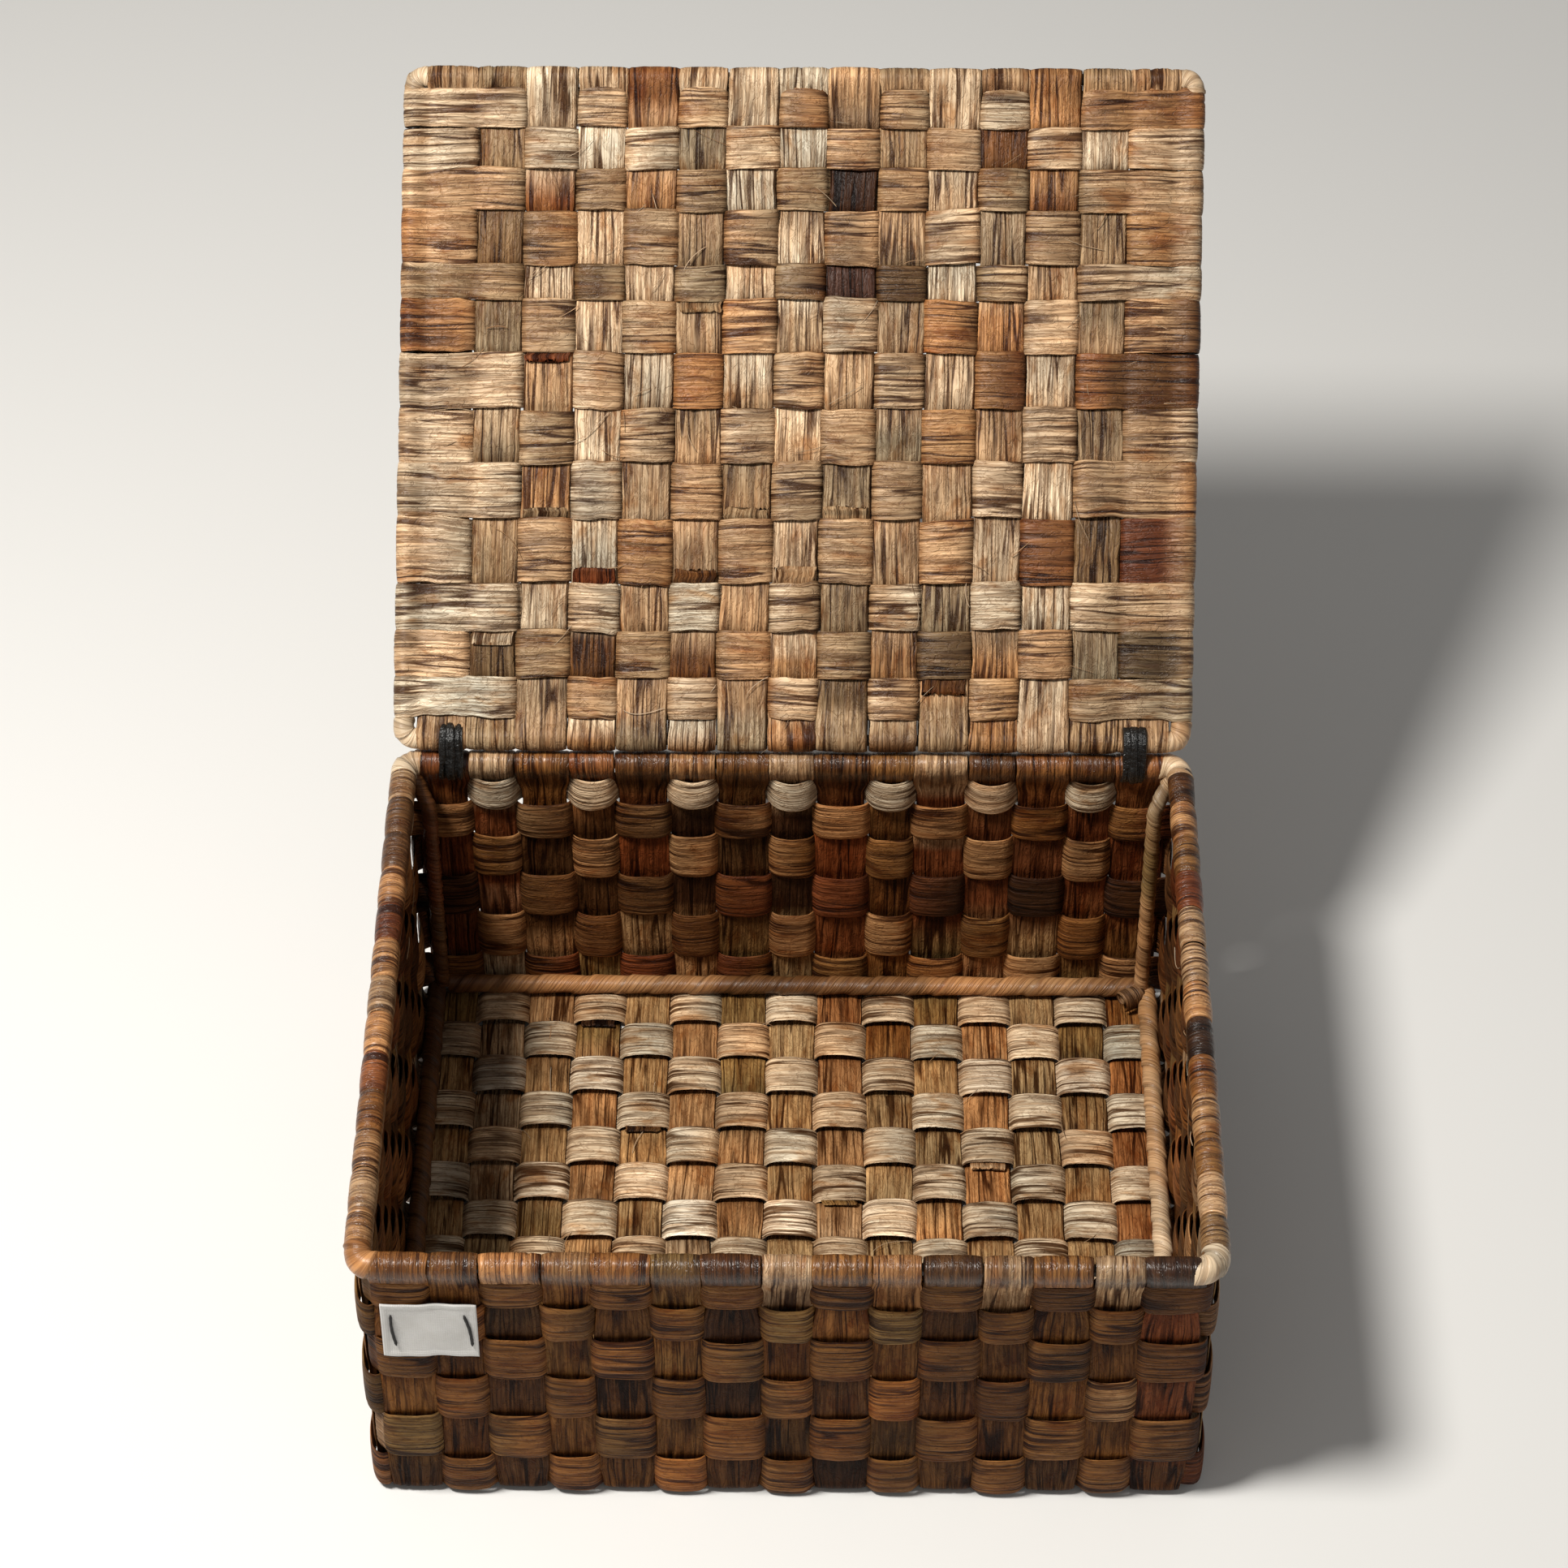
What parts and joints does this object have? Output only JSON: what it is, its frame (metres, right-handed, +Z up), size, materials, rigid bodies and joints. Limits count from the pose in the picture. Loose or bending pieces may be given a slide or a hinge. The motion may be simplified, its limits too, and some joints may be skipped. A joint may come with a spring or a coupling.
{
  "type": "lidded basket",
  "caption": "Rectangular storage basket of flattened water hyacinth strips woven over a steel rod frame, with a flat woven lid hinged to its back rim by two ties.",
  "frame": {"origin": "middle of the basket's underside, at ground level", "axes": "+X to the right seen from the front, +Y towards the back rim that carries the lid, +Z up"},
  "size_m": [0.3202, 0.4518, 0.339],
  "materials": {
    "rod": "satin",
    "strip_dark": "satin",
    "strip_tan": "satin",
    "strip_straw": "satin",
    "strip_olive": "satin",
    "wrap": "satin",
    "tie": "gloss",
    "label": "matte"
  },
  "bodies": {
    "basket": {"wire_frame": "rod", "long_strips": "strip_olive", "cross_strips": "strip_straw", "wall_row_1": "strip_tan", "wall_row_2": "strip_dark", "wall_row_3": "strip_tan", "wall_row_4": "strip_dark", "wall_row_5": "strip_tan", "wall_row_6": "strip_dark", "base_wrap_front": "wrap", "base_wrap_right": "wrap", "base_wrap_back": "wrap", "base_wrap_left": "wrap", "post_wrap_front_right": "wrap", "post_wrap_back_right": "wrap", "post_wrap_back_left": "wrap", "post_wrap_front_left": "wrap", "rim_corner_wrap_front_right": "strip_tan", "rim_corner_wrap_back_right": "strip_tan", "rim_corner_wrap_back_left": "strip_tan", "rim_corner_wrap_front_left": "strip_tan", "hinge_tie_left": "tie", "hinge_tie_right": "tie", "label": "label"},
    "lid": {"lid_wire": "rod", "lid_strip_01": "strip_olive", "lid_strip_02": "strip_tan", "lid_strip_03": "strip_olive", "lid_strip_04": "strip_tan", "lid_strip_05": "strip_olive", "lid_strip_06": "strip_tan", "lid_strip_07": "strip_olive", "lid_strip_08": "strip_tan", "lid_strip_09": "strip_olive", "lid_strip_10": "strip_tan", "lid_strip_11": "strip_olive", "lid_strip_12": "strip_tan", "lid_strip_13": "strip_olive", "lid_strip_14": "strip_tan", "lid_strip_15": "strip_olive", "lid_row_01": "strip_straw", "lid_row_02": "strip_straw", "lid_row_03": "strip_straw", "lid_row_04": "strip_straw", "lid_row_05": "strip_straw", "lid_row_06": "strip_straw", "lid_row_07": "strip_straw", "lid_row_08": "strip_straw", "lid_row_09": "strip_straw", "lid_row_10": "strip_straw", "lid_row_11": "strip_straw", "lid_row_12": "strip_straw", "lid_row_13": "strip_straw", "lid_corner_wrap_front_right": "strip_tan", "lid_corner_wrap_back_right": "strip_tan", "lid_corner_wrap_back_left": "strip_tan", "lid_corner_wrap_front_left": "strip_tan"}
  },
  "joints": [
    {"name": "lid_hinge", "type": "hinge", "parent": "basket", "child": "lid", "pos_m": [0, 0.133, 0.1424], "axis": [1, 0, 0], "range_deg": [0, 133]}
  ]
}
